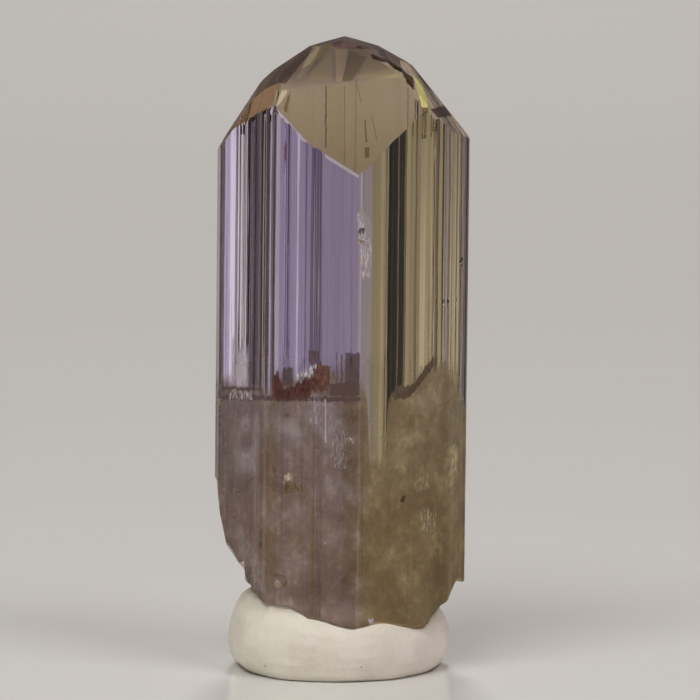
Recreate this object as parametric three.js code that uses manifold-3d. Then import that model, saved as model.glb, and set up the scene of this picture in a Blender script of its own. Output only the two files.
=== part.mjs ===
// A tanzanite crystal standing in a squashed ball of white mineral putty.
// The crystal is one solid: a flattened, finely striated prism with a faceted dome on top,
// a chipped front edge and a rough broken base. It is lifted out of the putty without a joint.
// Millimetres, +Z up, the front of the crystal towards -Y.
import * as THREE from 'three';
import { mergeVertices } from 'three/addons/utils/BufferGeometryUtils.js';
import Module from 'manifold-3d';

const wasm = await Module();
wasm.setup();

// Driving dimensions
const PRISM_TOP = 26.5; // height of the uncut prism, above the highest face of the dome
const LEAN = 0.6; // degrees that the crystal leans to the right
const LEAN_PIVOT = 21; // height at which the lean leaves the crystal in place
const SEAT_GAP = 0.12; // clearance between the crystal and its seat in the putty
const PUTTY_RADIUS = 4.4; // widest part of the putty
const PUTTY_SHIFT = -0.18; // how far the putty sits to the left of the crystal
const SEED = 20;

// Corners of the prism, seen from above: [x, y, striations on the side that starts there, their depth]
const PRISM_CORNERS = [
  [-5.06, 0.57, 3, 0.02],
  [-4.92, -0.24, 3, 0.02],
  [-3.83, -1.60, 7, 0.06],
  [-2.94, -2.72, 4, 0.05],
  [-2.49, -3.03, 4, 0.03],
  [-1.60, -3.44, 2, 0.02],
  [-1.15, -3.57, 4, 0.05],
  [-0.67, -3.72, 1, 0],
  [0.63, -4.05, 2, 0.02],
  [1.15, -3.82, 2, 0.02],
  [1.80, -3.48, 2, 0.02],
  [2.45, -3.17, 4, 0.025],
  [3.40, -2.71, 3, 0.03],
  [3.71, -2.49, 6, 0.045],
  [4.40, -1.76, 5, 0.05],
  [4.80, -0.87, 5, 0.03],
  [5.12, 0.10, 4, 0.03],
  [4.94, 0.92, 5, 0.04],
  [4.30, 1.92, 4, 0.04],
  [2.84, 3.02, 3, 0.035],
  [2.10, 3.30, 4, 0.035],
  [-0.66, 4.08, 3, 0.03],
  [-2.20, 3.36, 4, 0.035],
  [-3.48, 2.72, 4, 0.04],
  [-4.32, 1.86, 4, 0.04],
  [-4.84, 1.20, 4, 0.03],
];

// Faces of the dome: [turn of the outward normal, 0 front and 90 right; dip from level;
// distance from the centre of the base plane along the normal]
const DOME_FACES = {
  front: [1.5, 64.5, 12.48],
  ridge: [4, 33, 22.25],
  crestLeft: [-92, 17, 24.56],
  crestRight: [86, 15, 24.81],
  leftTop: [-52, 31, 22.43],
  leftUpper: [-82, 37, 20.94],
  leftMiddle: [-86, 46, 18.8],
  leftShoulder: [-89, 57.4, 15.58],
  leftLow: [-63, 65.5, 13.06],
  rightTop: [62, 29, 22.89],
  rightUpper: [92, 30, 22.63],
  rightShoulder: [80, 50.5, 17.63],
  rightLow: [47, 74.5, 10.29],
  rightEdge: [86, 66, 13.5],
  back: [181, 42, 19.4],
  backLeft: [-140, 38, 20.75],
  backLeftShoulder: [-118, 60, 14.97],
  backLeftLow: [-156, 71, 11.05],
  backRight: [150, 34, 21.59],
  backRightShoulder: [112, 54, 16.67],
};

// Narrow faces along the edges of the dome: [first face, second face, width]
const DOME_BEVELS = [
  [DOME_FACES.front, DOME_FACES.leftLow, 0.2],
  [DOME_FACES.front, DOME_FACES.rightShoulder, 0.3],
  [DOME_FACES.front, DOME_FACES.rightTop, 0.16],
  [DOME_FACES.back, DOME_FACES.backRightShoulder, 0.25],
  [DOME_FACES.back, DOME_FACES.backLeftShoulder, 0.2],
];

// The prism sides under the front face at the left, and the width of the worn edge between them
const FRONT_LEFT_SIDES = [[-14.2, 90, 3.77], [-24.7, 90, 3.79]];
const WORN_WIDTH = 0.12;

// Lowest edge of the crystal from left to right: [x, height]. Its steps and slopes are the break.
const BREAK_EDGE = [
  [-6.0, 9.6], [-4.98, 7.7], [-4.84, 6.3], [-4.56, 5.05], [-4.06, 4.27], [-3.82, 4.22],
  [-3.78, 3.75], [-3.54, 3.4], [-3.31, 3.12], [-3.14, 3.0], [-2.22, 3.03], [-1.62, 2.86],
  [-1.2, 2.65], [-0.8, 2.41], [-0.2, 2.27], [1.0, 2.17], [1.85, 2.05], [2.85, 2.06],
  [3.45, 2.19], [3.74, 2.49], [4.14, 2.86], [4.46, 3.02], [4.66, 3.39], [4.8, 3.63], [6.0, 3.6],
];
const BREAK_ROWS = 17; // rows of lumps from front to back
const BREAK_ROUGHNESS = 0.11; // how far a lump stands out or in
const BREAK_DEPTH = 11; // reach from front to back, a little more than the crystal's
const BREAK_HOLLOW = 0.22; // depth of the broad waves of the broken surface
const BREAK_WAVES = [0.6, 1.7]; // how closely they follow each other, across and front to back
const BREAK_TILT = 0.03; // how much lower the break lies towards the back
const BREAK_SKEW = 0.04; // how far a lump leans aside
const BELOW_ALL = -8; // a height below the whole part

// Scars where the crystal is chipped: [x, y, z, half sizes in x, y and z]
const CHIPS = [
  [0.92, -4.16, 18.1, 0.34, 0.26, 0.62],
  [0.8, -4.18, 17.1, 0.22, 0.2, 0.55],
  [-3.05, -3.05, 12.1, 0.4, 0.34, 0.24],
  [-4.95, -0.35, 11.0, 0.2, 0.3, 0.34],
  [4.86, -0.75, 16.7, 0.18, 0.22, 0.2],
  [-2.55, -3.2, 4.0, 0.5, 0.3, 0.4],
  [4.1, -2.25, 5.4, 0.24, 0.24, 0.6],
  [-0.66, 4.24, 9.6, 0.42, 0.26, 0.8],
  [2.6, 3.35, 14.8, 0.3, 0.26, 0.42],
  [-4.5, 1.85, 7.4, 0.36, 0.34, 0.5],
];

// Growth steps: uneven widths, and steep risers that take this share of a step's width
const NARROWEST_STEP = 0.35;
const RISER_SHARE = 0.12;
const SHALLOWEST_STEP = 0.15; // as a share of the depth
const CUTTER_SIZE = 60; // a block larger than the whole crystal

// Long pointed etch grooves: [x, y, turn of the face, lowest point, length, width, depth]
const ETCH_GROOVES = [
  [-2.37, -3.07, -17, 19.6, 1.7, 0.1, 0.07],
  [-3.35, -2.2, -51, 12.2, 8.6, 0.12, 0.08],
  [-3.1, -2.52, -51, 4.5, 6.2, 0.1, 0.07],
  [-1.84, -3.33, -24, 13.6, 8.4, 0.14, 0.06],
  [-1.1, -3.58, -17, 12, 9.2, 0.09, 0.08],
  [-0.9, -3.65, -17, 11.4, 8.9, 0.09, 0.08],
  [-1.5, -3.47, -17, 4.1, 7.6, 0.1, 0.06],
  [0.9, -3.93, 24, 2.6, 8.4, 0.1, 0.06],
  [2.82, -2.99, 26, 14.4, 7, 0.12, 0.06],
  [3.74, -2.46, 40, 14.2, 6.6, 0.1, 0.06],
  [4.12, -2.06, 47, 3, 12, 0.12, 0.06],
  [4.62, -1.28, 66, 5, 14, 0.1, 0.05],
  [1.2, 3.55, 164, 6, 12, 0.14, 0.08],
  [-1.5, 3.69, 205, 4, 13, 0.12, 0.08],
  [-2.8, 3.06, 207, 9, 9, 0.14, 0.07],
  [3.5, 2.52, 143, 7, 12, 0.14, 0.07],
];

// Profile of the putty from the middle of its foot to its top: [share of the radius, height]
const PUTTY_PROFILE = [
  [0, 0], [0.89, 0], [0.955, 0.2], [0.99, 0.6], [1, 1.05], [0.99, 1.5], [0.955, 1.95],
  [0.88, 2.35], [0.76, 2.7], [0.55, 2.95], [0, 3.05],
];
const PUTTY_HEIGHT = 3;
const PUTTY_SEGMENTS = 64;
// How much higher the putty is pushed up at each side, and its ripple around the rim
const PUTTY_LIFT = { bothSides: 0.08, left: 0.17, back: 0.1, ripple: 0.02, ripples: 5 };
// Shallow lumps that the fingers leave: [share of the radius, lumps around, twist with height, phase]
const PUTTY_LUMPS = [[0.016, 3, 0, 0.8], [0.012, 5, 4, 0], [0.008, 11, -6, 0]];

const CRYSTAL_LOOK = { color: 0x86788c, roughness: 0.12, metalness: 0 };
const PUTTY_LOOK = { color: 0xcdc6b8, roughness: 0.7, metalness: 0 };

const degrees = THREE.MathUtils.degToRad;

// A small seeded generator, so that the same crystal grows each time
function seeded(seed) {
  let state = seed;
  return () => {
    state = (Math.imul(state, 1664525) + 1013904223) >>> 0;
    return state / 4294967296;
  };
}

// A closed mesh as a solid that can be cut and joined
function solid(geometry) {
  geometry.deleteAttribute('normal');
  geometry.deleteAttribute('uv');
  const merged = mergeVertices(geometry, 1e-5);
  return new wasm.Manifold(new wasm.Mesh({
    numProp: 3,
    vertProperties: merged.attributes.position.array,
    triVerts: merged.index.array,
  }));
}

function geometryOf(body) {
  const mesh = body.getMesh();
  const geometry = new THREE.BufferGeometry();
  geometry.setAttribute('position', new THREE.BufferAttribute(mesh.vertProperties, 3));
  geometry.setIndex(new THREE.BufferAttribute(mesh.triVerts, 1));
  return geometry;
}

// Outward normal of a face from its turn and dip
function normalOf(turn, dip) {
  const level = Math.sin(degrees(dip));
  return new THREE.Vector3(
    Math.sin(degrees(turn)) * level,
    -Math.cos(degrees(turn)) * level,
    Math.cos(degrees(dip)),
  );
}

// The block of stone that lies outside a face
function blockOutside(normal, distance) {
  const block = new THREE.BoxGeometry(CUTTER_SIZE, CUTTER_SIZE, CUTTER_SIZE);
  block.translate(0, 0, distance + CUTTER_SIZE / 2);
  const turn = new THREE.Quaternion().setFromUnitVectors(new THREE.Vector3(0, 0, 1), normal);
  block.applyQuaternion(turn);
  return solid(block);
}

// A face that takes the edge between two faces off, at the given width
function bevelBetween([turnA, dipA, distanceA], [turnB, dipB, distanceB], width) {
  const normalA = normalOf(turnA, dipA);
  const normalB = normalOf(turnB, dipB);
  const sum = normalA.clone().add(normalB);
  const cut = width * Math.tan(normalA.angleTo(normalB) / 2) / 2;
  const distance = (distanceA + distanceB) / sum.length() - cut;
  return { normal: sum.normalize(), distance };
}

// Fine growth steps along one side of the prism: flats of uneven width, each a little
// further in or out than the last, joined by steep narrow risers
function striatedSide(start, end, steps, depth, random) {
  const side = end.clone().sub(start);
  const inward = new THREE.Vector2(-side.y, side.x).normalize();
  const points = [start];
  const widths = Array.from({ length: steps }, () => NARROWEST_STEP + random());
  const total = widths.reduce((sum, width) => sum + width, 0);
  let along = 0;
  for (const width of widths.slice(0, -1)) {
    along += width / total;
    const riser = RISER_SHARE * width / total;
    const before = depth * (SHALLOWEST_STEP + (1 - SHALLOWEST_STEP) * random());
    const after = before < depth / 2 ? depth : SHALLOWEST_STEP * depth;
    points.push(start.clone().addScaledVector(side, along - riser).addScaledVector(inward, before));
    points.push(start.clone().addScaledVector(side, along).addScaledVector(inward, after));
  }
  return points;
}

function striatedOutline() {
  const random = seeded(SEED);
  return PRISM_CORNERS.flatMap(([x, y, steps, depth], index) => {
    const [nextX, nextY] = PRISM_CORNERS[(index + 1) % PRISM_CORNERS.length];
    return striatedSide(new THREE.Vector2(x, y), new THREE.Vector2(nextX, nextY), steps, depth, random);
  });
}

function prism(outline, bottom, top) {
  const shape = new THREE.Shape(outline);
  const geometry = new THREE.ExtrudeGeometry(shape, { depth: top - bottom, bevelEnabled: false });
  geometry.translate(0, 0, bottom);
  return solid(geometry);
}

// What is missing below the break: a block whose top is the rough, stepped broken surface
function missingBelow(drop) {
  const random = seeded(SEED + 1);
  const columns = BREAK_EDGE.length - 1;
  const block = new THREE.BoxGeometry(columns, BREAK_ROWS, 2, columns, BREAK_ROWS, 1);
  const position = block.attributes.position;
  const lumps = Array.from({ length: (columns + 1) * (BREAK_ROWS + 1) }, () => random() - 0.5);
  const [wavesAcross, wavesBack] = BREAK_WAVES;
  for (let i = 0; i < position.count; i += 1) {
    const column = Math.round(position.getX(i) + columns / 2);
    const row = Math.round(position.getY(i) + BREAK_ROWS / 2);
    const [x, edge] = BREAK_EDGE[column];
    const y = BREAK_DEPTH * (row / BREAK_ROWS - 0.5);
    const lump = 2 * BREAK_ROUGHNESS * lumps[row * (columns + 1) + column];
    const hollow = BREAK_HOLLOW * Math.sin(wavesBack * y + wavesAcross * x) - BREAK_TILT * y;
    const top = edge + lump + hollow - drop;
    position.setXYZ(i, x + BREAK_SKEW * lump, y, position.getZ(i) > 0 ? top : BELOW_ALL);
  }
  return solid(block);
}

function chip([x, y, z, halfX, halfY, halfZ]) {
  const scar = new THREE.IcosahedronGeometry(1, 2);
  scar.scale(halfX, halfY, halfZ);
  scar.translate(x, y, z);
  return solid(scar);
}

function etchGroove([x, y, turn, bottom, length, width, depth]) {
  const needle = new THREE.OctahedronGeometry(1);
  needle.scale(width / 2, depth, length / 2);
  needle.rotateZ(degrees(turn));
  needle.translate(x, y, bottom + length / 2);
  return solid(needle);
}

function buildCrystal() {
  let body = prism(striatedOutline(), 0, PRISM_TOP);
  for (const [turn, dip, distance] of Object.values(DOME_FACES)) {
    body = body.subtract(blockOutside(normalOf(turn, dip), distance));
  }
  const wornEdges = FRONT_LEFT_SIDES.map((side) => [DOME_FACES.front, side, WORN_WIDTH]);
  for (const [first, second, width] of [...DOME_BEVELS, ...wornEdges]) {
    const { normal, distance } = bevelBetween(first, second, width);
    body = body.subtract(blockOutside(normal, distance));
  }
  body = body.subtract(missingBelow(0));
  for (const cut of [...CHIPS.map(chip), ...ETCH_GROOVES.map(etchGroove)]) {
    body = body.subtract(cut);
  }
  return geometryOf(body);
}

// The lean as a placement: a turn about the front-to-back line at the pivot height
function leanPlacement() {
  return new THREE.Matrix4().makeTranslation(0, 0, LEAN_PIVOT)
    .multiply(new THREE.Matrix4().makeRotationY(degrees(LEAN)))
    .multiply(new THREE.Matrix4().makeTranslation(0, 0, -LEAN_PIVOT));
}

// The room that the crystal takes in the putty, with its clearance
function seat() {
  const halfWidth = Math.max(...PRISM_CORNERS.map(([x]) => x));
  const spread = 1 + SEAT_GAP / halfWidth;
  const outline = PRISM_CORNERS.map(([x, y]) => new THREE.Vector2(x * spread, y * spread));
  const room = prism(outline, 0, PRISM_TOP).subtract(missingBelow(SEAT_GAP));
  const geometry = geometryOf(room);
  geometry.applyMatrix4(leanPlacement());
  return solid(geometry);
}

// How far the putty is pushed up, all around: most at the left, least at the front
function puttyLift(angle) {
  const atSides = PUTTY_LIFT.bothSides * Math.abs(Math.cos(angle));
  const atLeft = PUTTY_LIFT.left * Math.max(0, -Math.cos(angle));
  const atBack = PUTTY_LIFT.back * Math.max(0, Math.sin(angle));
  return 1 + atSides + atLeft + atBack + PUTTY_LIFT.ripple * Math.sin(PUTTY_LIFT.ripples * angle + 1);
}

// How far the lumps push the putty's surface out, at a height given as a share of the whole
function puttyLump(angle, share) {
  return PUTTY_LUMPS.reduce((reach, [size, around, twist, phase]) => (
    reach + size * Math.sin(around * angle + twist * share + phase)
  ), 1);
}

// Outer surface of the putty: a ball squashed onto its flat foot
function puttyBall() {
  const profile = PUTTY_PROFILE.map(([share, height]) => new THREE.Vector2(share * PUTTY_RADIUS, height));
  const ball = new THREE.LatheGeometry(profile, PUTTY_SEGMENTS);
  ball.rotateX(Math.PI / 2);
  const position = ball.attributes.position;
  for (let i = 0; i < position.count; i += 1) {
    const x = position.getX(i);
    const y = position.getY(i);
    const z = position.getZ(i);
    const angle = Math.atan2(y, x);
    const lump = puttyLump(angle, z / PUTTY_HEIGHT);
    position.setXYZ(i, x * lump + PUTTY_SHIFT, y * lump, z * puttyLift(angle));
  }
  return solid(ball);
}

function buildPutty() {
  return geometryOf(puttyBall().subtract(seat()));
}

function named(name, geometry, look) {
  const mesh = new THREE.Mesh(geometry, new THREE.MeshStandardMaterial(look));
  mesh.name = name;
  return mesh;
}

const crystal = named('crystal', buildCrystal(), CRYSTAL_LOOK);
crystal.applyMatrix4(leanPlacement());
const putty = named('putty', buildPutty(), PUTTY_LOOK);

const group = new THREE.Group();
group.add(crystal, putty);

// The origin stands on the ground, under the middle of the whole
const middle = new THREE.Box3().setFromObject(group, true).getCenter(new THREE.Vector3());
group.position.set(-middle.x, -middle.y, 0);

export default group;
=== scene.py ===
"""A tanzanite crystal standing in a ball of white mineral putty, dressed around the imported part.

Metres, in the frame of the CAD model. The front of the crystal faces -Y.
"""
import math
import bpy
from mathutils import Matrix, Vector, noise
from mathutils.bvhtree import BVHTree

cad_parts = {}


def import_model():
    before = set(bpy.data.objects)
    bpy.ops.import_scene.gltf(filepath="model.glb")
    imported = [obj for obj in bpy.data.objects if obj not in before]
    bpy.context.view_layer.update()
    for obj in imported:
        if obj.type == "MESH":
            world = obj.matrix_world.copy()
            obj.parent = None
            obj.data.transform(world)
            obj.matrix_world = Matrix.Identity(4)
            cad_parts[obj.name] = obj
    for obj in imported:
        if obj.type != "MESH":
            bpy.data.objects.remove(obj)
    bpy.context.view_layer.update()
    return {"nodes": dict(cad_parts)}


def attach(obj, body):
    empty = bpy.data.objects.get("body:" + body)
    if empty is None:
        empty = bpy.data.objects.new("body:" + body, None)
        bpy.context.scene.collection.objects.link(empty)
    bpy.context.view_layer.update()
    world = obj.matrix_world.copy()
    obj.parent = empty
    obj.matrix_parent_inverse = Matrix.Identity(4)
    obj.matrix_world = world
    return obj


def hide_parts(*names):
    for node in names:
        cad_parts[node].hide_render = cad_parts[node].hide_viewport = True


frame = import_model()

MM = 0.001

# Camera: a long lens, slightly above level, so that faces keep their true proportions
CLIP_START = 0.01
CLIP_END = 10.0
CAMERA_ELEVATION = math.radians(7.2)
CAMERA_LENS = 400.0
SENSOR_WIDTH = 36.0
FRAME_WIDTH = 28.35 * MM
AIM = Vector((0.33 * MM, 0.0, 12.98 * MM))

# Area lights: name, place, target, size and power
LIGHTS = [
    ("key", (-0.10, -0.20, 0.28), (0, 0.02, 0.0), (0.22, 0.14), 0.71),
    ("fill", (0.18, -0.16, 0.28), (0, 0.02, 0.0), (0.14, 0.14), 0.40),
    ("back_wash", (0.0, 0.40, 0.40), (0, 0.30, 0.0), (0.12, 0.12), 1.75),
    ("edge", (-0.14, -0.38, 0.135), (0, 0, 0.015), (0.13, 0.04), 0.06),
]

# The room that the crystal mirrors, and the ranges of direction over which its parts meet
ROOM_FRONT = (0.14, 0.14, 0.145)
ROOM_AROUND = (0.70, 0.69, 0.76)
ROOM_ABOVE = (0.12, 0.10, 0.09)
ROOM_SIDE_RANGE = (0.15, 0.55)
ROOM_BACK_RANGE = (-0.3, 0.5)
ROOM_LEVEL_RANGE = (-0.11, -0.06)

FLOOR_SIDE = 0.6
FLOOR_FRONT = -0.03
FLOOR_BACK = 0.345
FLOOR_COLOR = (0.80, 0.785, 0.76)
FLOOR_ROUGHNESS = 0.15

# The crystal's own axis leans to the right; its bands are measured across it, in millimetres
LEAN = math.radians(0.6)
LEAN_PIVOT = 21.0
AXIS_X = 0.108
REFRACTIVE_INDEX = 1.69
# Tint of what its faces mirror
SHEEN = (0.42, 0.34, 0.30)
ABSORPTION_COLOR = (0.72, 0.62, 0.6)
ABSORPTION_DENSITY = 20.0

# Kinds of face: the ranges of the normal over which one turns into the other
VIOLET_RANGE = (-0.02, 0.02)
VIOLET_BY_PLACE = 0.02
FRONT_RANGE = (0.0, -0.05)
DOME_RANGE = (0.12, 0.16)
SAME_FACE = (0.990, 0.994)

# Noise in the crystal: features a millimetre, the same each way or for each axis, detail, roughness
WOBBLE_NOISE = (4.0, 3.0, 0.55)
BLOTCH_NOISE = (0.55, 4.0, 0.62)
WANDER_NOISE = ((3.0, 3.0, 0.35), 2.0, 0.55)
STEP_NOISE = ((7.0, 7.0, 0.5), 3.0, 0.7)
STREAK_NOISE = ((9.0, 9.0, 0.12), 4.0, 0.6)
RAG_NOISE = ((5.0, 5.0, 0.8), 4.0, 0.7)
WISP_NOISE = ((2.6, 2.6, 1.9), 5.0, 0.75)
FEATHER_NOISE = ((16.0, 16.0, 3.5), 3.0, 0.75)
SPECK_SCALE = 0.9
# How far the noise moves bands and outlines, in millimetres
WANDER = 0.08
WOBBLE = 0.1
STEP = 0.35
RAGGED_WOBBLE = 0.2
RAGGED_STEP = 0.9
# Brightness by the noise's value
STREAK_SHADES = [(0.3, 0.72), (0.55, 1.0), (0.75, 1.15)]
WISP_SHADES = [(0.3, 0.6), (0.52, 0.9), (0.72, 1.9)]
FEATHER_SHADES = [(0.36, 0.2), (0.5, 0.9), (0.64, 3.0)]
FEATHER_RANGE = (0.5, 0.6)
SPECK_RANGE = (0.05, 0.03)

# How deep an outline's edge fades, in millimetres
SHARP_EDGE = 0.03
SOFT_EDGE = 0.5

# Roughness: of the cloud by its blotches and from left to right, of the break by height, of the dome
BLOTCH_RANGE = (-0.4, 0.7)
ROUGH_RANGE = (0.2, 2.0)
ROUGH_LEFT = 0.35
ROUGH_GAIN = 0.4
BREAK_RANGE = (5.0, 3.0)
BREAK_ROUGHNESS = 0.5
DOME_ROUGHNESS = 0.3
POLISH = 0.01

# Putty: colours from left to right, with painted shade in the middle, specks and fine pits
PUTTY_SPAN = (-3.0, 4.0)
PUTTY_CREAM = (0.78, 0.74, 0.63)
PUTTY_SHADED_MIDDLE = (0.745, 0.69, 0.605)
PUTTY_PINK = (0.80, 0.72, 0.65)
PUTTY_SPECK = (0.12, 0.10, 0.09)
PUTTY_SPECK_SCALE = 1.6
PUTTY_SPECK_RANGE = (0.075, 0.04)
# Only the places where this noise is high have specks
SPECKED_NOISE = (0.8, 2.0, 0.55)
SPECKED_RANGE = (0.5, 0.55)
MOTTLE_NOISE = (0.9, 5.0, 0.6)
MOTTLE_SHADES = [(0.3, (0.90, 0.88, 0.85)), (0.6, (1.0, 1.0, 1.0))]
FINE_NOISE = (7.0, 5.0, 0.65)
FINE_RELIEF = 0.7
# Gain and base of the roughness
PUTTY_ROUGHNESS = (0.25, 0.45)
PIT_SCALE = 4.5
PIT_WIDTH = 0.25
PIT_RELIEF = 0.35
BUMP_STRENGTH = 0.5
BUMP_HEIGHT = 0.06
# Its mesh, in millimetres: grain, dents that fade out towards the foot, and swelling sides
PUTTY_GRAIN = 0.075
SMOOTHING = 8
DENT_SCALE = 0.45
DENT_SHIFT = Vector((3.1, 0.4, 5.0))
DENT_DEPTH = 0.07
CREASE_SCALE = 1.3
CREASE_SHIFT = Vector((7.0, 2.0, 1.0))
CREASE_DEPTH = 0.02
GRAIN_SCALE = 3.5
GRAIN_DEPTH = 0.012
FOOT_HEIGHT = 0.5
SWELL_REACH = 3
SWELL_LEFT = -0.2
SWELL_RIGHT = 0.1
# How near the crystal the putty is drawn against it, and the gap that stays
PRESS_REACH = 0.3
PRESS_GAP = 0.015
# Keeps a division by a distance of nought away
TINY = 1e-9

# The share of red, green and blue light that comes through, by what one looks into
TINTS = {
    "lavender": (1.0, 0.90, 1.0),
    "lilac": (0.66, 0.58, 0.76),
    "violet": (0.42, 0.35, 0.54),
    "iris": (0.48, 0.40, 0.65),
    "indigo": (0.215, 0.17, 0.30),
    "navy": (0.15, 0.115, 0.26),
    "plum": (0.27, 0.21, 0.26),
    "slate": (0.11, 0.085, 0.10),
    "mist": (0.50, 0.44, 0.44),
    "tan": (0.465, 0.385, 0.225),
    "olive": (0.58, 0.49, 0.27),
    "moss": (0.22, 0.16, 0.06),
    "bark": (0.27, 0.20, 0.11),
    "umber": (0.095, 0.045, 0.028),
    "ink": (0.03, 0.032, 0.02),
    # Dark brown: painted shade and fringe along the silhouettes, and real dark bars and lines elsewhere
    "rim_shade_and_bar": (0.17, 0.11, 0.10),
    "taupe": (0.385, 0.31, 0.215),
    "pale": (0.72, 0.60, 0.42),
    "dusk": (0.28, 0.20, 0.12),
    "ember": (0.045, 0.015, 0.008),
    "lime": (0.85, 0.79, 0.26),
    "crimson": (0.20, 0.03, 0.06),
    "glint": (0.85, 0.76, 0.95),
    "mauve": (0.33, 0.25, 0.26),
    "brick": (0.135, 0.048, 0.04),
    "loam": (0.17, 0.115, 0.07),
    "grape": (0.17, 0.12, 0.135),
    "straw": (0.62, 0.50, 0.30),
    "rust": (0.20, 0.095, 0.07),
    "silver": (0.56, 0.50, 0.49),
    "haze": (0.58, 0.51, 0.58),
    "khaki": (0.37, 0.298, 0.185),
    "sand": (0.42, 0.34, 0.24),
    "white": (1.0, 0.95, 1.0),
}

# Bands start this far from their ramp's low end, and the ramp is this wide
BANDS_MARGIN = 0.5
BANDS_WIDTH = 11.0
# Bands of the clear part, seen from the front: each starts at x and runs to the next one's x; the first
# band, at the left end, is painted shade and fringe along the silhouette
VIOLET_BANDS = [
    (-5.20, "rim_shade_and_bar"), (-4.93, "plum"), (-4.84, "lilac"), (-4.62, "lavender"), (-4.40, "lilac"),
    (-4.30, "lavender"), (-3.86, "lilac"), (-3.78, "plum"), (-3.62, "slate"), (-3.46, "plum"),
    (-3.34, "slate"), (-3.26, "mist"), (-3.16, "slate"), (-3.02, "lilac"), (-2.92, "plum"),
    (-2.84, "slate"), (-2.76, "lilac"), (-2.60, "iris"), (-1.90, "glint"), (-1.83, "iris"),
    (-1.56, "indigo"), (-1.50, "violet"), (-1.34, "indigo"), (-1.26, "navy"), (-1.09, "indigo"),
    (-1.02, "navy"), (-0.90, "indigo"), (-0.86, "violet"),
]
# The last bands at the right end, from 4.78 on, are painted shade and fringe along the silhouette
OLIVE_BANDS = [
    (0.52, "mist"), (0.66, "lilac"), (0.74, "mist"), (1.10, "tan"), (1.46, "olive"), (1.58, "tan"),
    (1.76, "ink"), (2.13, "dusk"), (2.19, "ink"), (2.42, "bark"), (2.48, "olive"), (2.62, "tan"),
    (2.82, "bark"), (2.92, "tan"), (3.04, "olive"), (3.64, "bark"), (3.72, "rim_shade_and_bar"), (3.80, "olive"),
    (3.92, "tan"), (4.06, "mist"), (4.18, "bark"), (4.26, "olive"), (4.34, "tan"), (4.48, "olive"),
    (4.64, "bark"), (4.72, "tan"), (4.78, "plum"), (4.84, "umber"), (5.06, "rim_shade_and_bar"),
]
# Bands of the cloudy part; the first and last bands are painted shade and fringe along the silhouettes
CLOUDED_BANDS = [
    (-5.20, "rim_shade_and_bar"), (-4.95, "mauve"), (-4.66, "grape"), (-4.60, "mauve"), (-4.46, "plum"),
    (-4.36, "mauve"), (-3.10, "dusk"), (-2.60, "mauve"), (-2.50, "plum"), (-2.42, "mauve"),
    (-1.96, "dusk"), (-1.86, "mauve"), (-1.40, "plum"), (-1.32, "mauve"), (-1.20, "dusk"),
    (-1.10, "mauve"), (-0.98, "plum"), (-0.80, "mauve"), (-0.40, "plum"), (0.05, "loam"),
    (0.64, "sand"), (0.72, "dusk"), (0.80, "loam"), (0.90, "dusk"), (4.30, "tan"),
    (4.90, "dusk"), (5.00, "rim_shade_and_bar"),
]
# Height of the cloudy part's upper edge, along the crystal's width: (x, height)
CLOUD_EDGE = [(-5.2, 11.7), (-2.9, 11.5), (-2.6, 12.3), (0.55, 12.7), (1.0, 11.6), (1.12, 8.9),
              (1.76, 8.8), (1.84, 11.2), (2.6, 11.6), (3.4, 12.4), (4.2, 12.6), (5.2, 10.0)]
# A height above all of that edge
EDGE_TOP = 20.0
# The cloud fades in over this range of depth below the edge
CLOUD_FADE = (-0.35, 0.2)
# The cloud's tints by blotch, at the left and the right of the range of x where they change
CLOUD_TURN = (0.4, 1.1)
CLOUD_LEFT = [(0.34, (0.23, 0.155, 0.10)), (0.5, (0.35, 0.265, 0.21)), (0.66, (0.53, 0.445, 0.44))]
CLOUD_RIGHT = [(0.34, (0.31, 0.225, 0.11)), (0.5, (0.45, 0.35, 0.19)), (0.66, (0.64, 0.53, 0.33))]
CLOUD_BAND_SHARE = 0.42
# The cloud gets warmer, then darker, between these heights
WARMTH_RANGE = (10.0, 2.0)
WARMTH = [(0.0, (1.0, 0.98, 1.0)), (0.6, (1.0, 0.88, 0.66)), (0.85, (0.86, 0.75, 0.56)),
          (1.0, (0.42, 0.34, 0.24))]

# Tints of the faces of the dome: (turn, dip, tint), as the source of the part has the faces
DOME_TINTS = [
    (4, 33, (0.26, 0.17, 0.12)),
    (-52, 31, (0.27, 0.19, 0.14)),
    (-63, 65.5, (0.33, 0.20, 0.115)),
    (62, 29, (0.34, 0.27, 0.22)),
    (80, 50.5, (0.55, 0.45, 0.35)),
    (47, 74.5, (0.45, 0.37, 0.24)),
    (86, 66, (0.60, 0.42, 0.36)),
    (-92, 17, (0.22, 0.12, 0.09)),
    (86, 15, (0.34, 0.27, 0.23)),
    (-82, 37, (0.20, 0.13, 0.09)),
    (-86, 46, (0.26, 0.14, 0.07)),
    (-89, 57.4, (0.30, 0.15, 0.07)),
    # Worn edge between the front face and the prism: its pale tint is a painted highlight, besides the
    # real one that the edge lamp puts on it
    (-6.8, 77.1, (0.70, 0.63, 0.76)),
    (-12.3, 76.9, (0.70, 0.63, 0.76)),
]
# The large front face gets deeper in colour between these heights
DEEPENING_RANGE = (22.8, 20.2)
DEEPENING = [(0.0, (1.0, 1.0, 1.0)), (1.0, (0.66, 0.61, 0.51))]

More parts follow.
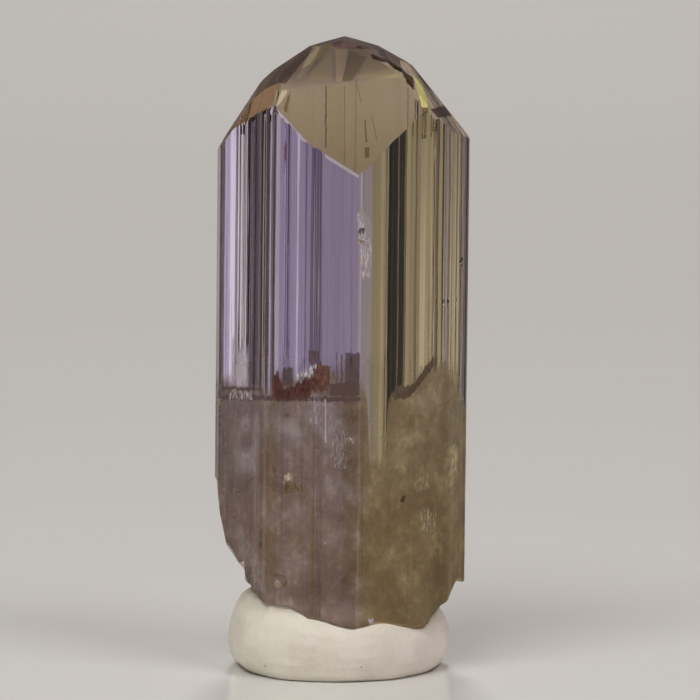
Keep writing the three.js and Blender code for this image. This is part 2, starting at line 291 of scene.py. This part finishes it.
# Outlines on the front: a tint and corners (x, height), the height taken along the line of sight
DOME_PATCHES = [
    # Left: stripes
    ("umber", [(-2.73, 23.57), (-2.49, 24.14), (-1.92, 24.62), (-1.32, 25.11), (-1.44, 24.71),
               (-2.33, 23.53)]),
    ("tan", [(-1.28, 25.11), (-0.91, 25.19), (-1.07, 24.79), (-1.72, 23.81), (-1.96, 23.65)]),
    ("moss", [(-0.79, 25.19), (-0.47, 25.15), (-0.91, 24.5), (-1.64, 23.69)]),
    ("tan", [(-0.91, 24.38), (-0.51, 24.83), (-0.47, 23.65), (-1.6, 23.65)]),
    # The plain part at the right, and the middle
    ("tan", [(0.5, 23.75), (2.35, 23.75), (2.0, 24.15), (1.5, 24.4), (0.95, 24.62)]),
    ("straw", [(-0.38, 24.95), (0.14, 24.95), (-0.02, 23.65), (-0.34, 23.65)]),
    ("moss", [(0.18, 24.91), (0.91, 24.62), (0.34, 23.65), (-0.1, 23.61)]),
    ("brick", [(-0.63, 25.39), (-0.1, 25.52), (0.71, 25.27), (1.19, 24.91), (0.22, 24.95),
               (-0.43, 25.03)]),
    # Right: dark crescent, bright strip, dark lozenge
    ("ember", [(0.99, 24.71), (1.15, 24.75), (1.8, 24.5), (1.6, 24.38), (1.11, 24.54)]),
    ("ember", [(1.56, 24.58), (1.96, 24.38), (2.41, 24.14), (2.25, 23.98), (1.8, 24.26)]),
    ("ember", [(2.17, 24.26), (2.81, 23.81), (2.81, 23.25), (2.49, 23.57)]),
    ("umber", [(2.9, 23.98), (3.06, 23.98), (3.79, 23.25), (3.71, 23.13), (3.42, 23.37)]),
    ("lime", [(2.73, 23.94), (2.94, 23.81), (3.14, 23.53), (3.38, 22.68), (3.3, 22.56), (3.1, 22.6)]),
    ("ember", [(3.38, 22.52), (4.03, 22.76), (4.39, 22.32), (3.75, 22.15)]),
    ("moss", [(3.06, 22.56), (3.38, 22.6), (3.34, 21.46)]),
    # Lines seen through the large front face
    ("khaki", [(-0.67, 23.49), (-0.04, 23.49), (0.0, 20.41), (-0.63, 20.82)]),
    ("umber", [(-0.78, 23.49), (-0.70, 23.49), (-0.70, 20.95), (-0.78, 20.95)]),
    ("moss", [(-0.02, 23.5), (0.04, 23.5), (0.04, 20.3), (-0.02, 20.3)]),
    ("moss", [(0.41, 23.73), (0.49, 23.73), (0.71, 22.76), (0.65, 22.76)]),
    ("moss", [(0.77, 22.11), (0.87, 22.11), (0.93, 21.18), (0.83, 21.14)]),
    ("moss", [(0.79, 20.98), (1.03, 20.98), (0.99, 20.53), (0.81, 20.53)]),
    ("moss", [(1.07, 22.23), (1.13, 22.23), (1.32, 21.26), (1.26, 21.22)]),
    ("pale", [(-2.73, 22.68), (-2.53, 23.25), (-2.17, 23.33), (-2.33, 23.09), (-2.49, 22.48)]),
    ("moss", [(-2.45, 22.48), (-2.29, 23.0), (-2.13, 23.25), (-2.29, 22.32)]),
]
# The upper part of the dome, which blurs what lies behind it
DOME_BLUR = [(-2.75, 23.25), (0.0, 23.42), (2.3, 23.95), (0.9, 25.3), (-0.2, 25.6), (-1.4, 25.3),
             (-2.6, 24.2)]
# Outlines on the front's sides
SIDE_PATCHES = [
    # Red line in the clear part
    ("crimson", [(-2.38, 21.55), (-2.31, 20.98), (-2.36, 20.01), (-2.43, 20.57)]),
    # Scar of the chip on the front edge
    ("silver", [(0.47, 18.3), (0.7, 18.6), (1.12, 17.9), (1.12, 16.2), (0.85, 15.8), (0.6, 16.6)]),
    # Healed crack: two dark bars, the upper one short, and blocks above the lower one
    ("rim_shade_and_bar", [(-5.0, 11.43), (-3.3, 11.36), (-3.3, 11.2), (-5.0, 11.24)]),
    ("rim_shade_and_bar", [(-5.0, 11.06), (0.66, 11.0), (0.66, 10.78), (-5.0, 10.84)]),
    ("grape", [(-2.49, 12.19), (-2.05, 12.19), (-2.05, 11.46), (-2.49, 11.46)]),
    ("grape", [(-1.46, 12.88), (-1.03, 12.88), (-1.03, 12.35), (-1.46, 12.35)]),
    ("grape", [(0.02, 12.78), (0.63, 12.78), (0.63, 11.02), (0.02, 11.02)]),
    ("grape", [(-0.34, 12.8), (-0.26, 12.8), (-0.26, 11.0), (-0.34, 11.0)]),
    ("grape", [(-0.16, 12.7), (-0.06, 12.7), (-0.06, 11.0), (-0.16, 11.0)]),
    ("rim_shade_and_bar", [(-0.6, 11.55), (0.63, 11.6), (0.63, 11.02), (-0.6, 11.02)]),
    # Dark curved seam above the cloudy part at the right
    ("loam", [(2.0, 11.4), (2.7, 11.5), (2.9, 11.3), (2.6, 10.95), (2.0, 10.86)]),
    ("loam", [(2.6, 11.3), (3.26, 12.25), (3.5, 12.15), (3.3, 11.8), (2.75, 11.1)]),
    ("loam", [(3.2, 12.2), (3.56, 12.6), (3.76, 12.6), (3.74, 12.3), (3.4, 11.95)]),
    # Knot, streak and chip in the lower right part
    ("umber", [(2.2, 6.8), (2.33, 7.05), (2.5, 7.0), (2.4, 6.75)]),
    ("tan", [(2.64, 5.2), (2.7, 5.2), (2.7, 3.6), (2.64, 3.6)]),
    ("haze", [(0.93, 2.05), (1.15, 2.1), (1.2, 1.92), (1.0, 1.88)]),
    # Bright lines below the crack
    ("glint", [(-0.78, 10.85), (-0.72, 10.85), (-0.72, 9.11), (-0.78, 9.11)]),
    ("glint", [(-1.16, 10.25), (-1.10, 10.25), (-1.10, 9.9), (-1.16, 9.9)]),
]
# Pale spots with soft edges
SOFT_PATCHES = [
    ("silver", [(-2.75, 9.6), (-2.4, 10.3), (-1.9, 10.2), (-1.6, 9.4), (-2.1, 9.2)]),
    ("silver", [(-4.6, 8.9), (-3.5, 9.1), (-3.5, 7.9), (-4.4, 7.7)]),
]
# Outlines with a ragged edge and a fibrous grain
CRACK_PATCHES = [
    # Iron stain on the crack
    ("brick", [(-2.9, 11.75), (-2.73, 12.1), (-2.41, 11.46), (-2.41, 10.89), (-2.94, 10.97)]),
    ("brick", [(-2.45, 11.3), (-1.2, 11.9), (-1.2, 11.3), (-1.5, 10.89), (-2.45, 10.89)]),
    ("rust", [(-1.25, 12.3), (-0.55, 12.3), (-0.59, 11.18), (-1.25, 11.18)]),
    # Tan band, ochre lens and a pale spot in the cloudy part
    ("straw", [(4.19, 9.03), (4.64, 8.95), (4.6, 8.55), (4.39, 7.21), (4.17, 7.41)]),
    ("moss", [(-2.77, 7.45), (-2.21, 7.49), (-1.3, 7.25), (-1.92, 7.17), (-2.4, 7.21)]),
    ("pale", [(-2.45, 7.9), (-2.09, 7.9), (-2.09, 7.6), (-2.45, 7.6)]),
]
# The specks in the cloudy part are of two tints
SPECK_TINTS = [(0.0, TINTS["bark"]), (0.5, TINTS["silver"])]
# Outlines that hold white feathers and sparkles
FEATHERS = [
    ("white", [(-2.0, 11.5), (-1.3, 11.9), (-1.0, 12.3), (-1.65, 12.2), (-2.0, 11.9)]),
    ("white", [(-4.7, 11.25), (-3.7, 11.25), (-3.7, 10.85), (-4.7, 10.85)]),
    ("haze", [(-1.52, 11.0), (-0.95, 11.0), (-0.95, 9.6), (-1.44, 9.9)]),
    ("mist", [(-0.75, 10.7), (0.1, 9.6), (0.1, 8.2), (-0.55, 8.2)]),
    ("white", [(0.0, 9.36), (0.5, 9.36), (0.5, 9.2), (0.0, 9.2)]),
    ("white", [(0.62, 17.3), (1.12, 17.3), (1.05, 15.9), (0.7, 15.7)]),
    ("glint", [(0.5, 18.4), (0.8, 18.2), (1.0, 16.6), (0.6, 16.6)]),
    ("pale", [(3.0, 6.4), (3.7, 6.5), (3.7, 5.6), (3.0, 5.5)]),
    ("straw", [(2.8, 7.9), (3.4, 7.9), (3.4, 7.2), (2.8, 7.2)]),
    ("mist", [(-4.5, 5.5), (-3.9, 5.5), (-3.1, 2.9), (-3.8, 3.4)]),
]


class Graph:
    """Short calls that add nodes to a material and return their output sockets."""

    def __init__(self, material):
        self.nodes = material.node_tree.nodes
        self.links = material.node_tree.links

    def put(self, socket, value):
        if isinstance(value, bpy.types.NodeSocket):
            self.links.new(value, socket)
        else:
            socket.default_value = value

    def outputs(self, kind, **inputs):
        """The outputs of a new node with these inputs."""
        made = self.nodes.new(kind)
        for name, value in inputs.items():
            self.put(made.inputs[name], value)
        return made.outputs

    def millimetres(self):
        """The place on the part in millimetres, and its three parts."""
        in_mm = self.vector_math("MULTIPLY", self.outputs("ShaderNodeTexCoord")["Object"], (1 / MM,) * 3)
        return in_mm, self.outputs("ShaderNodeSeparateXYZ", Vector=in_mm)

    def math(self, operation, a, b=0.0, c=0.0, clamp=False):
        made = self.nodes.new("ShaderNodeMath")
        made.operation = operation
        made.use_clamp = clamp
        for socket, value in zip(made.inputs, (a, b, c)):
            self.put(socket, value)
        return made.outputs[0]

    def vector_math(self, operation, a, b):
        made = self.nodes.new("ShaderNodeVectorMath")
        made.operation = operation
        self.put(made.inputs[0], a)
        self.put(made.inputs[1], b)
        return made.outputs["Value"] if operation == "DOT_PRODUCT" else made.outputs["Vector"]

    def mix(self, share, a, b, blend="MIX"):
        made = self.nodes.new("ShaderNodeMix")
        made.data_type = "RGBA"
        made.blend_type = blend
        self.put(made.inputs["Factor"], share)
        self.put(made.inputs["A"], a if isinstance(a, bpy.types.NodeSocket) else (*a, 1))
        self.put(made.inputs["B"], b if isinstance(b, bpy.types.NodeSocket) else (*b, 1))
        return made.outputs["Result"]

    def times(self, color, factor):
        return self.mix(1.0, color, factor, "MULTIPLY")

    def ramp(self, value, stops, interpolation="LINEAR"):
        """A colour ramp through the stops, each a position and a colour."""
        made = self.nodes.new("ShaderNodeValToRGB")
        made.color_ramp.interpolation = interpolation
        elements = made.color_ramp.elements
        while len(elements) < len(stops):
            elements.new(0.5)
        for element, (position, color) in zip(elements, stops):
            element.position = position
            element.color = (*color, 1)
        self.links.new(value, made.inputs[0])
        return made.outputs[0]

    def greys(self, value, stops):
        """A ramp of greys: each stop is a position and a brightness."""
        return self.ramp(value, [(position, (grey,) * 3) for position, grey in stops])

    def rise(self, value, low, high, top=1.0):
        """Nought below low, the top value above high, straight in between."""
        made = self.nodes.new("ShaderNodeMapRange")
        for socket, source in zip(made.inputs, (value, low, high, 0.0, top)):
            self.put(socket, source)
        return made.outputs["Result"]

    def portion(self, value, low, width):
        """How far the value has come from low, as a share of the width."""
        return self.math("DIVIDE", self.math("SUBTRACT", value, low), width, clamp=True)

    def noise(self, vector, scale, detail, roughness):
        return self.outputs("ShaderNodeTexNoise", Vector=vector, Scale=scale, Detail=detail,
                            Roughness=roughness)[0]

    def drawn_noise(self, vector, stretch, detail, roughness):
        """Noise that is drawn out along the axes."""
        return self.noise(self.vector_math("MULTIPLY", vector, stretch), 1.0, detail, roughness)

    def centred(self, value):
        return self.math("SUBTRACT", value, 0.5)


def new_material(name):
    material = bpy.data.materials.new(name)
    material.use_nodes = True
    return material, Graph(material), material.node_tree.nodes["Principled BSDF"]


def through(tint):
    """The base colour that lets this share of the light through one surface of the shader."""
    return tuple(channel ** 2 for channel in tint)


def through_stops(stops):
    return [(position, through(tint)) for position, tint in stops]


def banded(graph, across, bands):
    """Colour bands side by side."""
    low = bands[0][0] - BANDS_MARGIN
    stops = [((x - low) / BANDS_WIDTH, through(TINTS[name])) for x, name in bands]
    return graph.ramp(graph.portion(across, low, BANDS_WIDTH), stops, "CONSTANT")


def height_along(graph, across, edge):
    """The height of a line that runs across the crystal through the given points."""
    low = edge[0][0]
    width = edge[-1][0] - low
    stops = [((x - low) / width, height / EDGE_TOP) for x, height in edge]
    return graph.math("MULTIPLY", graph.greys(graph.portion(across, low, width), stops), EDGE_TOP)


def facing(turn, dip):
    """The direction of a face from its turn about the crystal and its dip from level, in degrees."""
    level = math.sin(math.radians(dip))
    return (math.sin(math.radians(turn)) * level, -math.cos(math.radians(turn)) * level,
            math.cos(math.radians(dip)))


def inside(graph, flat, corners, soft=SHARP_EDGE):
    """Above nought inside a convex outline and below it outside; one at this depth inside the edge."""
    edges = list(zip(corners, corners[1:] + corners[:1]))
    turned = sum(x0 * z1 - x1 * z0 for (x0, z0), (x1, z1) in edges)
    way = 1 if turned > 0 else -1
    depth = None
    for (x0, z0), (x1, z1) in edges:
        length = math.hypot(x1 - x0, z1 - z0) * way * soft
        inward = ((z0 - z1) / length, (x1 - x0) / length)
        reach = -x0 * inward[0] - z0 * inward[1]
        for coordinate, slope in zip(flat, inward):
            if slope:
                reach = graph.math("MULTIPLY_ADD", coordinate, slope, reach)
        depth = reach if depth is None else graph.math("MINIMUM", reach, depth)
    return depth


def painted(graph, color, flat, mask, patches, grain=None, soft=SHARP_EDGE):
    """The colour with the outlines painted over it, where the mask lets them."""
    paint = (0.0, 0.0, 0.0)
    cover = 0.0
    for name, corners in patches:
        depth = inside(graph, flat, corners, soft)
        paint = graph.mix(graph.math("CEIL", depth), paint, through(TINTS[name]))
        cover = graph.math("MAXIMUM", cover, depth)
    if grain is not None:
        paint = graph.times(paint, grain)
    share = graph.math("MULTIPLY", graph.math("MINIMUM", cover, 1.0), mask)
    return graph.mix(share, color, paint)


class Place:
    """Where a point of the crystal lies, in millimetres."""

    def __init__(self, graph):
        self.in_mm, parts = graph.millimetres()
        self.height = parts["Z"]
        self.depth = parts["Y"]
        leaning = graph.math("MULTIPLY", graph.math("SUBTRACT", LEAN_PIVOT, self.height), math.tan(LEAN))
        self.level_x = graph.math("SUBTRACT", parts["X"], AXIS_X)
        wander = graph.drawn_noise(self.in_mm, *WANDER_NOISE)
        wander = graph.math("MULTIPLY", graph.centred(wander), WANDER)
        self.across = graph.math("ADD", graph.math("ADD", self.level_x, leaning), wander)

        # Coordinates for the outlines on the front: across, and the height along the line of sight
        self.slant = graph.vector_math("DOT_PRODUCT", self.in_mm,
                                       (0, math.sin(CAMERA_ELEVATION), math.cos(CAMERA_ELEVATION)))
        wobble = graph.centred(graph.noise(self.in_mm, *WOBBLE_NOISE))
        steps = graph.centred(graph.drawn_noise(self.in_mm, *STEP_NOISE))
        self.flat = (graph.math("MULTIPLY_ADD", wobble, WOBBLE, self.level_x),
                     graph.math("MULTIPLY_ADD", wobble, WOBBLE, self.slant))
        self.side_flat = (self.flat[0], graph.math("MULTIPLY_ADD", steps, STEP, self.slant))
        self.ragged_flat = (graph.math("MULTIPLY_ADD", wobble, RAGGED_WOBBLE, self.level_x),
                            graph.math("MULTIPLY_ADD", steps, RAGGED_STEP, self.slant))


class Faces:
    """Which kind of face a point is on, from nought to one, by the direction of the face."""

    def __init__(self, graph, place):
        geometry = graph.outputs("ShaderNodeNewGeometry")
        self.backfacing = geometry["Backfacing"]
        self.normal = geometry["True Normal"]
        parts = graph.outputs("ShaderNodeSeparateXYZ", Vector=self.normal)
        # Violet to the front left and the back right; the place helps on the narrow striations
        product = graph.math("MULTIPLY", parts["X"], parts["Y"])
        square = graph.math("POWER", graph.math("ABSOLUTE", place.level_x), 2.0)
        aside = graph.math("MULTIPLY", square, VIOLET_BY_PLACE)
        quarter = graph.math("MULTIPLY", place.level_x, place.depth)
        self.violet = graph.rise(graph.math("MULTIPLY_ADD", quarter, aside, product), *VIOLET_RANGE)
        front = graph.rise(parts["Y"], *FRONT_RANGE)
        self.dome = graph.rise(parts["Z"], *DOME_RANGE)
        self.front_side = graph.math("SUBTRACT", front, self.dome, clamp=True)
        self.front_dome = graph.math("MULTIPLY", front, self.dome)


def clear_color(graph, place, faces):
    """The striated sides of the clear part: colour bands with fine streaks."""
    bands = graph.mix(faces.violet, banded(graph, place.across, OLIVE_BANDS),
                      banded(graph, place.across, VIOLET_BANDS))
    streaks = graph.drawn_noise(place.in_mm, *STREAK_NOISE)
    return graph.times(bands, graph.greys(streaks, STREAK_SHADES))


def dome_color(graph, place, faces):
    """The dome: a tint for each face, marks, and a deeper colour down the front face."""
    color = through(TINTS["taupe"])
    for turn, dip, tint in DOME_TINTS:
        match = graph.vector_math("DOT_PRODUCT", faces.normal, facing(turn, dip))
        color = graph.mix(graph.rise(match, *SAME_FACE), color, through(tint))
    color = painted(graph, color, place.flat, faces.front_dome, DOME_PATCHES)
    return graph.times(color, graph.ramp(graph.rise(place.slant, *DEEPENING_RANGE), DEEPENING))


def cloud(graph, place):
    """The cloudy lower part: its share, its blotches and its colour."""
    edge = height_along(graph, place.across, CLOUD_EDGE)
    ragged = graph.drawn_noise(place.in_mm, *RAG_NOISE)
    edge = graph.math("ADD", edge, graph.centred(ragged))
    share = graph.rise(graph.math("SUBTRACT", edge, place.height), *CLOUD_FADE)
    blotches = graph.noise(place.in_mm, *BLOTCH_NOISE)
    wisps = graph.drawn_noise(place.in_mm, *WISP_NOISE)
    color = graph.mix(graph.rise(place.level_x, *CLOUD_TURN),
                      graph.ramp(blotches, through_stops(CLOUD_LEFT)),
                      graph.ramp(blotches, through_stops(CLOUD_RIGHT)))
    color = graph.mix(CLOUD_BAND_SHARE, color, banded(graph, place.across, CLOUDED_BANDS))
    color = graph.times(color, graph.greys(wisps, WISP_SHADES))
    color = graph.times(color, graph.ramp(graph.rise(place.height, *WARMTH_RANGE), WARMTH))
    return share, blotches, color


def marked(graph, color, place, faces, cloudy):
    """The sides with the marks on the front, and with specks in the cloudy part."""
    side = faces.front_side
    color = painted(graph, color, place.side_flat, side, SOFT_PATCHES, soft=SOFT_EDGE)
    color = painted(graph, color, place.side_flat, side, SIDE_PATCHES)
    feather = graph.drawn_noise(place.in_mm, *FEATHER_NOISE)
    grain = graph.greys(feather, FEATHER_SHADES)
    color = painted(graph, color, place.ragged_flat, side, CRACK_PATCHES, grain)
    feathery = graph.math("MULTIPLY", graph.rise(feather, *FEATHER_RANGE), side)
    color = painted(graph, color, place.ragged_flat, feathery, FEATHERS)
    bits = graph.outputs("ShaderNodeTexVoronoi", Vector=place.in_mm, Scale=SPECK_SCALE)
    shades = graph.ramp(bits["Color"], through_stops(SPECK_TINTS), "CONSTANT")
    specks = graph.math("MULTIPLY", graph.rise(bits["Distance"], *SPECK_RANGE), cloudy)
    return graph.mix(specks, color, shades)


def crystal_roughness(graph, place, faces, cloudy, blotches):
    """Rough in the cloud, more so at the right and at the break, and in the upper part of the dome."""
    rough = graph.math("MULTIPLY", cloudy, graph.rise(blotches, *BLOTCH_RANGE))
    rightness = graph.rise(place.level_x, *ROUGH_RANGE)
    rough = graph.math("MULTIPLY", rough,
                       graph.math("MULTIPLY_ADD", rightness, ROUGH_GAIN, ROUGH_LEFT))
    rough = graph.math("MAXIMUM", rough, graph.rise(place.height, *BREAK_RANGE, BREAK_ROUGHNESS))
    depth = graph.math("MINIMUM", inside(graph, place.flat, DOME_BLUR), 1.0)
    blurred = graph.math("MULTIPLY", depth, faces.front_dome)
    rough = graph.math("MAXIMUM", rough, graph.math("MULTIPLY", blurred, DOME_ROUGHNESS))
    return graph.math("ADD", rough, POLISH)


def crystal_material():
    material, graph, shader = new_material("tanzanite_zoned")
    place = Place(graph)
    faces = Faces(graph, place)
    bands = clear_color(graph, place, faces)
    dome = dome_color(graph, place, faces)
    cloudy, blotches, clouds = cloud(graph, place)
    bands = graph.mix(cloudy, bands, clouds)
    bands = marked(graph, bands, place, faces, cloudy)
    color = graph.mix(faces.dome, bands, dome)
    # Light is tinted on the way in only
    color = graph.mix(faces.backfacing, color, (1.0, 1.0, 1.0))
    graph.put(shader.inputs["Base Color"], color)
    graph.put(shader.inputs["Roughness"], crystal_roughness(graph, place, faces, cloudy, blotches))
    shader.inputs["IOR"].default_value = REFRACTIVE_INDEX
    shader.inputs["Specular Tint"].default_value = (*SHEEN, 1)
    shader.inputs["Transmission Weight"].default_value = 1.0
    absorption = graph.nodes.new("ShaderNodeVolumeAbsorption")
    absorption.inputs["Color"].default_value = (*ABSORPTION_COLOR, 1)
    absorption.inputs["Density"].default_value = ABSORPTION_DENSITY
    graph.links.new(absorption.outputs["Volume"], graph.nodes["Material Output"].inputs["Volume"])
    return material


def putty_material():
    """Off-white putty: a little pinker at the right, darker in the middle by painted shade, mottled,
    with dark specks and fine pits.
    """
    material, graph, shader = new_material("putty_lumpy")
    in_mm, parts = graph.millimetres()
    # The middle stop of this ramp is painted shade
    color = graph.ramp(graph.rise(parts["X"], *PUTTY_SPAN),
                       [(0.0, PUTTY_CREAM), (0.5, PUTTY_SHADED_MIDDLE), (1.0, PUTTY_PINK)])
    mottle = graph.noise(in_mm, *MOTTLE_NOISE)
    color = graph.times(color, graph.ramp(mottle, MOTTLE_SHADES))
    specks = graph.outputs("ShaderNodeTexVoronoi", Vector=in_mm, Scale=PUTTY_SPECK_SCALE)
    near = graph.rise(specks["Distance"], *PUTTY_SPECK_RANGE)
    specked = graph.rise(graph.noise(in_mm, *SPECKED_NOISE), *SPECKED_RANGE)
    color = graph.mix(graph.math("MULTIPLY", near, specked), color, PUTTY_SPECK)
    graph.put(shader.inputs["Base Color"], color)
    fine = graph.noise(in_mm, *FINE_NOISE)
    graph.put(shader.inputs["Roughness"], graph.math("MULTIPLY_ADD", fine, *PUTTY_ROUGHNESS))
    pits = graph.outputs("ShaderNodeTexVoronoi", Vector=in_mm, Scale=PIT_SCALE)
    hollow = graph.rise(pits["Distance"], 0.0, PIT_WIDTH)
    relief = graph.math("MULTIPLY_ADD", fine, FINE_RELIEF, graph.math("MULTIPLY", hollow, PIT_RELIEF))
    bump = graph.nodes.new("ShaderNodeBump")
    bump.inputs["Strength"].default_value = BUMP_STRENGTH
    bump.inputs["Distance"].default_value = BUMP_HEIGHT * MM
    graph.links.new(relief, bump.inputs["Height"])
    graph.links.new(bump.outputs["Normal"], shader.inputs["Normal"])
    return material


def within(value):
    """The value, kept between nought and one."""
    return min(1.0, max(0.0, value))


def fine_copy(solid):
    """A copy of the solid as a fine, slightly smoothed mesh."""
    piece = bpy.data.objects.new("putty_pressed", solid.data.copy())
    piece.matrix_world = solid.matrix_world
    bpy.context.scene.collection.objects.link(piece)
    remesh = piece.modifiers.new("remesh", "REMESH")
    remesh.mode = "VOXEL"
    remesh.voxel_size = PUTTY_GRAIN * MM
    smooth = piece.modifiers.new("smooth", "SMOOTH")
    smooth.iterations = SMOOTHING
    depsgraph = bpy.context.evaluated_depsgraph_get()
    fine = bpy.data.meshes.new_from_object(piece.evaluated_get(depsgraph))
    piece.modifiers.clear()
    piece.data = fine
    return piece, depsgraph


def dent_depth(point):
    """How deep fingers and creases have dented the putty at this point, in millimetres."""
    dent = 0.5 + 0.5 * noise.noise(point * DENT_SCALE + DENT_SHIFT)
    crease = noise.noise(point * CREASE_SCALE + CREASE_SHIFT)
    grain = noise.noise(point * GRAIN_SCALE)
    return DENT_DEPTH * dent + CREASE_DEPTH * (1 + crease) + GRAIN_DEPTH * (1 + grain)


def lumpy_putty():
    """The putty as a fine mesh, dented by fingers and pressed against the crystal."""
    crystal = frame["nodes"]["crystal"]
    piece, depsgraph = fine_copy(frame["nodes"]["putty"])
    fine = piece.data
    surface = BVHTree.FromObject(crystal, depsgraph)
    to_crystal = crystal.matrix_world.inverted() @ piece.matrix_world
    normals = [vertex.normal.copy() for vertex in fine.vertices]
    for vertex, normal in zip(fine.vertices, normals):
        point = vertex.co / MM
        foot = within(point.z / FOOT_HEIGHT)
        vertex.co -= normal * dent_depth(point) * foot * MM
        # The sides swell outwards a little, the left one more
        outward = within(point.x * normal.x / SWELL_REACH)
        vertex.co.x += outward * (SWELL_LEFT if point.x < 0 else SWELL_RIGHT) * foot * MM
        place = to_crystal @ vertex.co
        nearest, _, _, distance = surface.find_nearest(place)
        if distance < PRESS_REACH * MM:
            pull = (1 - distance / (PRESS_REACH * MM)) ** 0.5
            stay = min(1.0, PRESS_GAP * MM / max(distance, TINY))
            target = nearest.lerp(place, stay)
            vertex.co = to_crystal.inverted() @ place.lerp(target, pull)
        vertex.co.z = max(vertex.co.z, 0.0)
    for polygon in fine.polygons:
        polygon.use_smooth = True
    fine.materials.clear()
    fine.materials.append(putty_material())
    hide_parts("putty")
    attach(piece, "root")


def backdrop():
    """A plain pale floor that reaches just past the top of the picture."""
    vertices = [(x, y, 0.0) for y in (FLOOR_FRONT, FLOOR_BACK) for x in (-FLOOR_SIDE, FLOOR_SIDE)]
    mesh = bpy.data.meshes.new("backdrop")
    mesh.from_pydata(vertices, [], [(0, 1, 3, 2)])
    sheet = bpy.data.objects.new("backdrop", mesh)
    bpy.context.scene.collection.objects.link(sheet)
    material, _, shader = new_material("backdrop")
    shader.inputs["Base Color"].default_value = (*FLOOR_COLOR, 1)
    shader.inputs["Roughness"].default_value = FLOOR_ROUGHNESS
    mesh.materials.append(material)


def camera():
    data = bpy.data.cameras.new("camera")
    data.lens = CAMERA_LENS
    data.sensor_width = SENSOR_WIDTH
    data.clip_start = CLIP_START
    data.clip_end = CLIP_END
    eye = bpy.data.objects.new("camera", data)
    bpy.context.scene.collection.objects.link(eye)
    distance = FRAME_WIDTH * CAMERA_LENS / SENSOR_WIDTH
    direction = Vector((0.0, -math.cos(CAMERA_ELEVATION), math.sin(CAMERA_ELEVATION)))
    eye.location = AIM + direction * distance
    eye.rotation_euler = (math.pi / 2 - CAMERA_ELEVATION, 0.0, 0.0)
    bpy.context.scene.camera = eye


def light(name, location, target, size, power):
    data = bpy.data.lights.new(name, "AREA")
    data.shape = "RECTANGLE"
    data.size, data.size_y = size
    data.energy = power
    lamp = bpy.data.objects.new(name, data)
    lamp.location = location
    lamp.rotation_euler = (Vector(target) - Vector(location)).to_track_quat("-Z", "Y").to_euler()
    bpy.context.scene.collection.objects.link(lamp)


def world():
    """A pale room below eye level at the sides and behind, and a dim one above and in front."""
    sky = bpy.data.worlds.new("studio")
    sky.use_nodes = True
    graph = Graph(sky)
    direction = graph.outputs("ShaderNodeTexCoord")["Generated"]
    parts = graph.outputs("ShaderNodeSeparateXYZ", Vector=direction)
    aside = graph.math("ABSOLUTE", parts["X"])
    share = graph.math("MAXIMUM", graph.rise(aside, *ROOM_SIDE_RANGE),
                       graph.rise(parts["Y"], *ROOM_BACK_RANGE))
    level = graph.rise(parts["Z"], *ROOM_LEVEL_RANGE)
    color = graph.mix(level, graph.mix(share, ROOM_FRONT, ROOM_AROUND), ROOM_ABOVE)
    graph.put(graph.nodes["Background"].inputs["Color"], color)
    bpy.context.scene.world = sky


camera()
backdrop()
world()
for settings in LIGHTS:
    light(*settings)
bpy.context.scene.view_settings.view_transform = "Standard"

frame["nodes"]["crystal"].data.materials[0] = crystal_material()
lumpy_putty()
